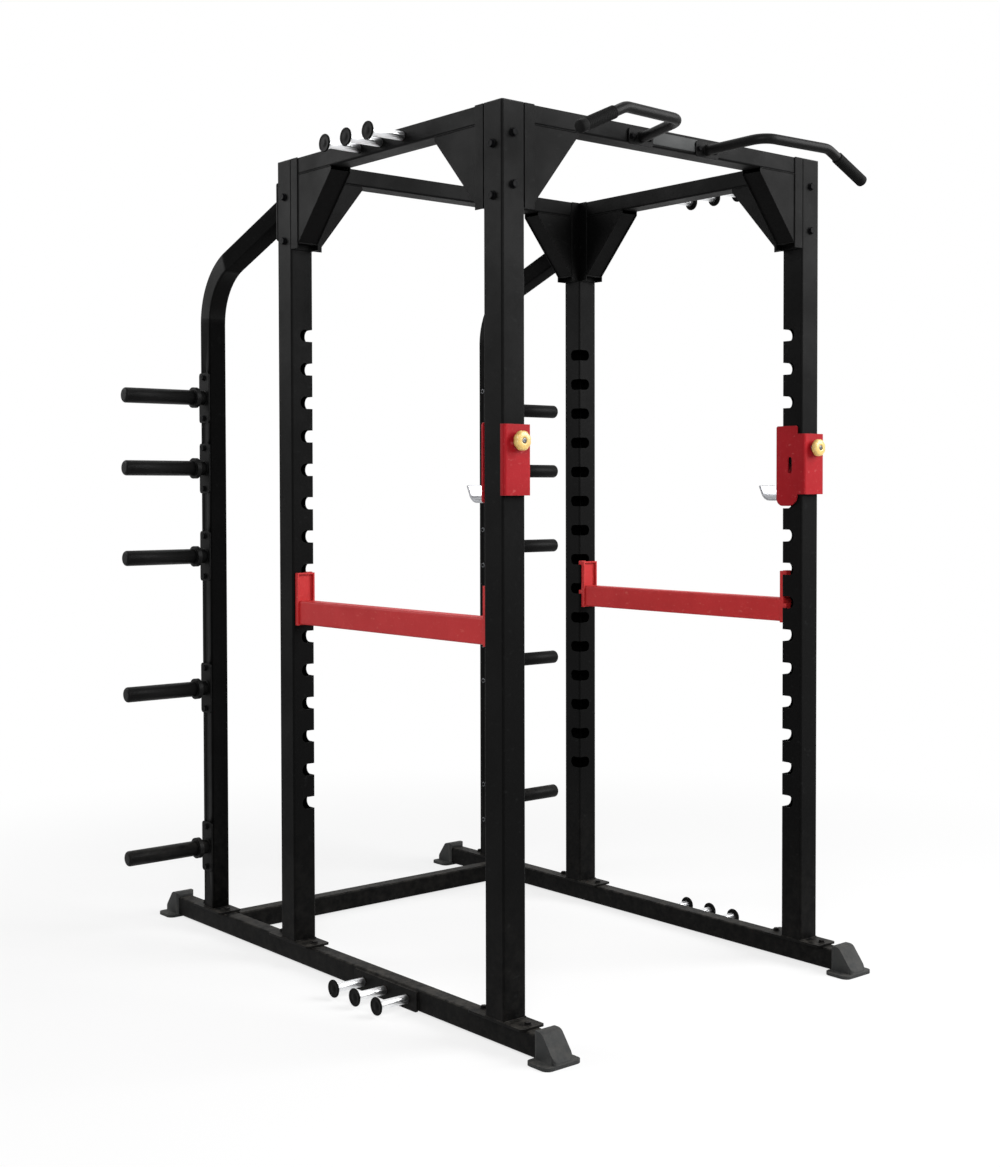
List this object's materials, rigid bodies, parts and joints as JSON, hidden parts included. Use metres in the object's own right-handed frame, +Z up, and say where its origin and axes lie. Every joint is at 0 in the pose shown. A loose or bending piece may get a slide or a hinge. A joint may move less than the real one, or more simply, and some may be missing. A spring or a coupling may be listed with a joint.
{
  "type": "power cage",
  "caption": "Power cage: slotted uprights on floor rails, boxed corner gussets, bent storage posts with weight horns, pull-up handles, band pegs, lift-off J-hooks and safety bars.",
  "frame": {"origin": "centre of the footprint's box, on the floor", "axes": "+Z up, +Y from the front of the cage to the storage posts, +X to the right of a user who looks along +Y"},
  "size_m": [1.796, 2.009, 2.4],
  "materials": {
    "frame_coat": "satin black powder coat, lightly scuffed",
    "plate_coat": "satin black powder coat",
    "horn_coat": "satin black powder coat",
    "foot_rubber": "moulded dark grey rubber",
    "grip_rubber": "fine textured black rubber",
    "cap_plastic": "moulded black cap",
    "disc_plastic": "moulded black disc",
    "chrome_peg": "bright chrome plate",
    "black_oxide": "black oxide hardware",
    "plain_steel": "zinc plated steel",
    "hook_red": "gloss red powder coat",
    "safety_red": "gloss red powder coat",
    "cradle_chrome": "bright chrome plate",
    "plunger_steel": "turned steel",
    "spring_steel": "spring steel",
    "knob_yellow": "moulded yellow plastic"
  },
  "bodies": {
    "frame": {"base_rail_left": "frame_coat", "base_rail_right": "frame_coat", "rear_floor_tube": "frame_coat", "front_feet": "foot_rubber", "rear_feet": "foot_rubber", "upright_front_left": "frame_coat", "upright_front_right": "frame_coat", "upright_rear_left": "frame_coat", "upright_rear_right": "frame_coat", "upright_base_plates": "plate_coat", "upright_caps": "cap_plastic", "base_bolts": "black_oxide", "base_weld_nuts": "plain_steel", "top_beam_front": "frame_coat", "top_beam_rear": "frame_coat", "top_beam_left": "frame_coat", "top_beam_right": "frame_coat", "gussets_front": "frame_coat", "gussets_rear": "frame_coat", "gussets_left": "frame_coat", "gussets_right": "frame_coat", "beam_bolts": "black_oxide", "beam_nuts": "plain_steel", "storage_post_left": "frame_coat", "storage_post_right": "frame_coat", "post_base_plates": "plate_coat", "post_top_plates": "plate_coat", "weight_horns_left": "horn_coat", "weight_horns_right": "horn_coat", "horn_collars": "horn_coat", "horn_plates": "plate_coat", "horn_bolts": "black_oxide", "horn_nuts": "plain_steel", "pull_up_handle_left": "horn_coat", "pull_up_handle_right": "horn_coat", "handle_flanges": "plate_coat", "handle_bolts": "black_oxide", "handle_grip_left": "grip_rubber", "handle_grip_right": "grip_rubber", "upper_band_pegs": "chrome_peg", "lower_band_pegs": "chrome_peg", "band_peg_caps": "disc_plastic", "band_peg_plates": "plate_coat"},
    "left_j_hook": {"left_hook_bracket": "hook_red", "left_hook_cradle": "cradle_chrome", "left_plunger_barrel": "plunger_steel", "left_plunger_spring": "spring_steel"},
    "left_pull_plunger": {"left_plunger": "plunger_steel", "left_pull_knob": "knob_yellow"},
    "right_j_hook": {"right_hook_bracket": "hook_red", "right_hook_cradle": "cradle_chrome", "right_plunger_barrel": "plunger_steel", "right_plunger_spring": "spring_steel"},
    "right_pull_plunger": {"right_plunger": "plunger_steel", "right_pull_knob": "knob_yellow"},
    "left_safety": {"left_safety_bar": "safety_red", "left_safety_brackets": "safety_red"},
    "right_safety": {"right_safety_bar": "safety_red", "right_safety_brackets": "safety_red"}
  },
  "joints": [
    {"name": "left_j_hook_lift", "type": "slide", "parent": "frame", "child": "left_j_hook", "axis": [0, 0, 1], "range_m": [0, 0.02]},
    {"name": "left_knob_pull", "type": "slide", "parent": "left_j_hook", "child": "left_pull_plunger", "axis": [0, -1, 0], "range_m": [0, 0.008], "stiffness_N_per_m": 600, "springref_m": -0.01, "deforming": ["left_plunger_spring"]},
    {"name": "left_safety_lift", "type": "slide", "parent": "frame", "child": "left_safety", "axis": [0, 0, 1], "range_m": [0, 0.02]},
    {"name": "right_j_hook_lift", "type": "slide", "parent": "frame", "child": "right_j_hook", "axis": [0, 0, 1], "range_m": [0, 0.02]},
    {"name": "right_knob_pull", "type": "slide", "parent": "right_j_hook", "child": "right_pull_plunger", "axis": [0, -1, 0], "range_m": [0, 0.008], "stiffness_N_per_m": 600, "springref_m": -0.01, "deforming": ["right_plunger_spring"]},
    {"name": "right_safety_lift", "type": "slide", "parent": "frame", "child": "right_safety", "axis": [0, 0, 1], "range_m": [0, 0.02]}
  ]
}
